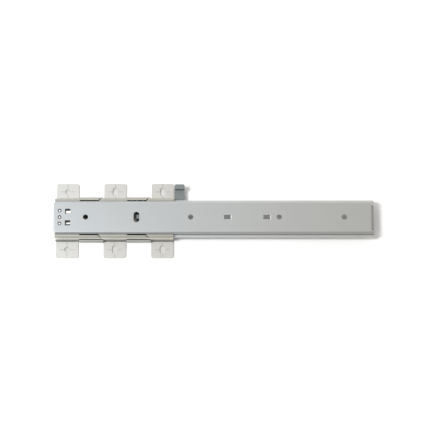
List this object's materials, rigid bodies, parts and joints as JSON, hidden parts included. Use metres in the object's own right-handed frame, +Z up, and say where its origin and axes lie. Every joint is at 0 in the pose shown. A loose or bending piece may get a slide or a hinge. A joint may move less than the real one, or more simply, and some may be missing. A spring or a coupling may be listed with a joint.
{
  "type": "undermount drawer slide",
  "caption": "Two-member ball-bearing undermount drawer slide: a long web-up drawer rail running on a short race with mounting feet, ball cages and a release lever.",
  "frame": {"origin": "on the underside of the foot plate, midway between the two round front mounting holes", "axes": "+X along the slide towards the rear of the cabinet, +Y towards the lever side, +Z up from the cabinet to the drawer"},
  "size_m": [0.4, 0.0974, 0.0166],
  "materials": {
    "zinc_steel": "bright zinc plated",
    "zinc_plate": "bright zinc plated",
    "rivet_steel": "zinc plated",
    "cage_steel": "plain rolled",
    "spring_steel": "oiled",
    "ball_steel": "polished",
    "white_plastic": "moulded",
    "grey_plastic": "moulded",
    "rubber": "moulded"
  },
  "bodies": {
    "base": {"cabinet_rail": "zinc_steel", "foot_plate": "zinc_plate", "plate_rivets": "rivet_steel", "cage_stops_front": "white_plastic", "cage_stops_rear": "white_plastic", "closing_bumper": "rubber", "bumper_rivet": "rivet_steel", "detent_spring": "spring_steel", "detent_rivet": "rivet_steel", "lever_pin": "rivet_steel", "lever_washer": "rivet_steel", "lever_spring": "spring_steel", "lever_clip": "spring_steel"},
    "drawer": {"drawer_rail": "zinc_steel", "front_block": "white_plastic"},
    "cage_left": {"ball_cage_left": "cage_steel", "ball_row_left": "ball_steel"},
    "cage_right": {"ball_cage_right": "cage_steel", "ball_row_right": "ball_steel"},
    "lever": {"release_lever": "grey_plastic"}
  },
  "joints": [
    {"name": "drawer_slide", "type": "slide", "parent": "base", "child": "drawer", "axis": [-1, 0, 0], "range_m": [0, 0.16]},
    {"name": "cage_left_slide", "type": "slide", "parent": "base", "child": "cage_left", "axis": [-1, 0, 0], "range_m": [0, 0.08]},
    {"name": "cage_right_slide", "type": "slide", "parent": "base", "child": "cage_right", "axis": [-1, 0, 0], "range_m": [0, 0.08]},
    {"name": "lever_pivot", "type": "hinge", "parent": "base", "child": "lever", "pos_m": [0.126, 0.004, 0], "axis": [0, 0, 1], "range_deg": [-6, 0], "stiffness_Nm_per_rad": 0.2}
  ],
  "couplings": [
    {"joint": "cage_left_slide", "follows": "drawer_slide", "ratio": 0.5},
    {"joint": "cage_right_slide", "follows": "drawer_slide", "ratio": 0.5}
  ]
}
